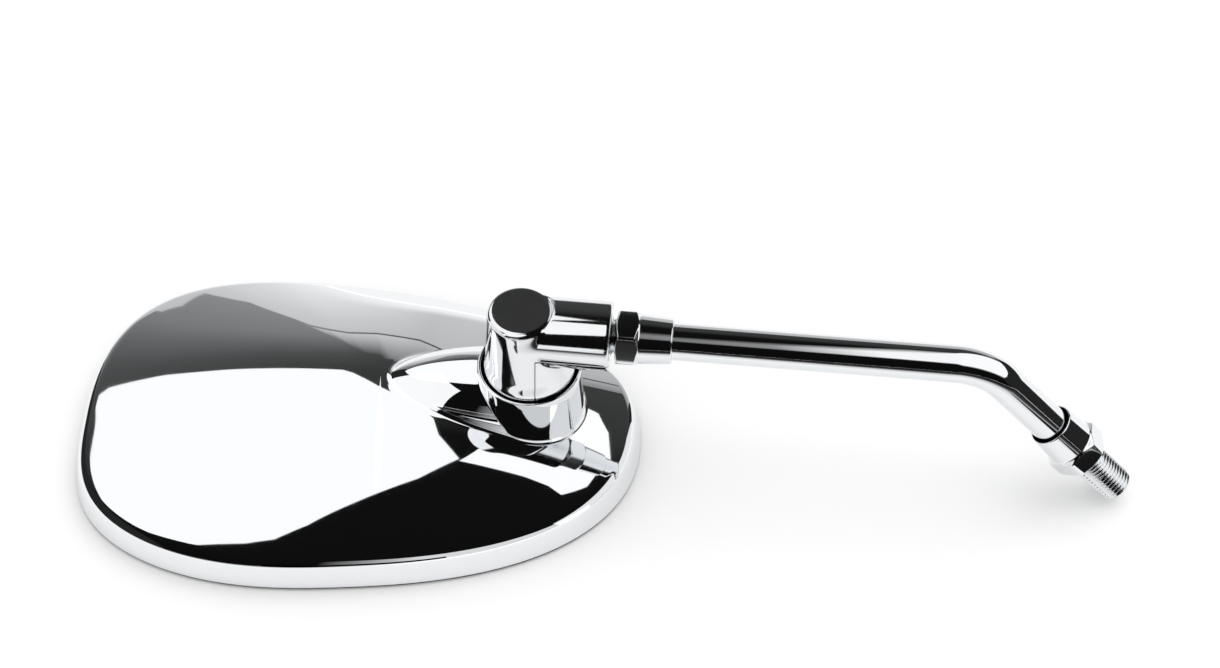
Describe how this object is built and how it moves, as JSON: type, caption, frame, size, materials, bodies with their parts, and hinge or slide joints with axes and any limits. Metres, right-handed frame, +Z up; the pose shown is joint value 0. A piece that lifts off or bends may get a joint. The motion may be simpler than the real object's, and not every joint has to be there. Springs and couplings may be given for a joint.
{
  "type": "bike mirror",
  "caption": "Handlebar mirror for a motorcycle: an oval chromed head on a ball joint, an elbow and a bent rod with a threaded end that screws into a handlebar perch.",
  "frame": {"origin": "centre of the part's bounding box, on the surface the mirror lies on with its glass side down", "axes": "+X along the long side of the head towards the threaded end of the rod, +Z up out of the back of the head, +Y to the left of +X"},
  "size_m": [0.2915, 0.1034, 0.0565],
  "materials": {
    "shell_chrome": "bright chrome plate on the housing",
    "elbow_chrome": "chrome plate on a casting, slightly soft",
    "rod_chrome": "bright chrome plate on a steel bar",
    "nut_chrome": "bright chrome plate on turned nuts",
    "mirror_glass": "silvered convex glass",
    "edge_rubber": "black matt rubber edge",
    "foam": "dark grey closed foam",
    "plate_plastic": "black moulded plastic",
    "screw_steel": "zinc plated small screws",
    "seat_nylon": "natural nylon",
    "pivot_steel": "zinc plated steel"
  },
  "bodies": {
    "stem": {"stem_rod": "rod_chrome"},
    "upper_nut": {"upper_lock_nut": "nut_chrome"},
    "lower_nut": {"lower_lock_nut": "nut_chrome"},
    "elbow": {"elbow_body": "elbow_chrome", "pivot_bolt": "pivot_steel", "pivot_spring": "pivot_steel", "spring_cap": "pivot_steel", "pivot_nut": "pivot_steel"},
    "swivel": {"pivot_washer": "pivot_steel"},
    "tilt": {"seat_ring": "seat_nylon"},
    "head": {"housing_shell": "shell_chrome", "mirror_glass": "mirror_glass", "rim_gasket": "edge_rubber", "foam_pad": "foam", "backing_plate": "plate_plastic", "plate_screw_1": "screw_steel", "plate_screw_2": "screw_steel", "plate_screw_3": "screw_steel", "plate_screw_4": "screw_steel", "plate_screw_5": "screw_steel"}
  },
  "joints": [
    {"name": "elbow_turn", "type": "hinge", "parent": "stem", "child": "elbow", "pos_m": [-0.02041, 0.0001, 0.0472], "axis": [0.9948, -0.1016, 0], "range_deg": [-180, 180]},
    {"name": "upper_nut_spin", "type": "hinge", "parent": "stem", "child": "upper_nut", "pos_m": [0.00794, -0.00279, 0.0472], "axis": [0.9948, -0.1016, 0], "continuous": true},
    {"name": "lower_nut_spin", "type": "hinge", "parent": "stem", "child": "lower_nut", "pos_m": [0.12948, -0.01743, 0.0177], "axis": [0.6776, -0.1239, -0.7249], "continuous": true},
    {"name": "head_swivel", "type": "hinge", "parent": "elbow", "child": "swivel", "pos_m": [-0.01842, -0.0001, 0.0293], "axis": [0, 0, 1], "range_deg": [-180, 180]},
    {"name": "head_tip", "type": "hinge", "parent": "swivel", "child": "tilt", "pos_m": [-0.01842, -0.0001, 0.0293], "axis": [0.1016, 0.9948, 0], "range_deg": [-7, 7]},
    {"name": "head_roll", "type": "hinge", "parent": "tilt", "child": "head", "pos_m": [-0.01842, -0.0001, 0.0293], "axis": [0.9948, -0.1016, 0], "range_deg": [-7, 7]}
  ]
}
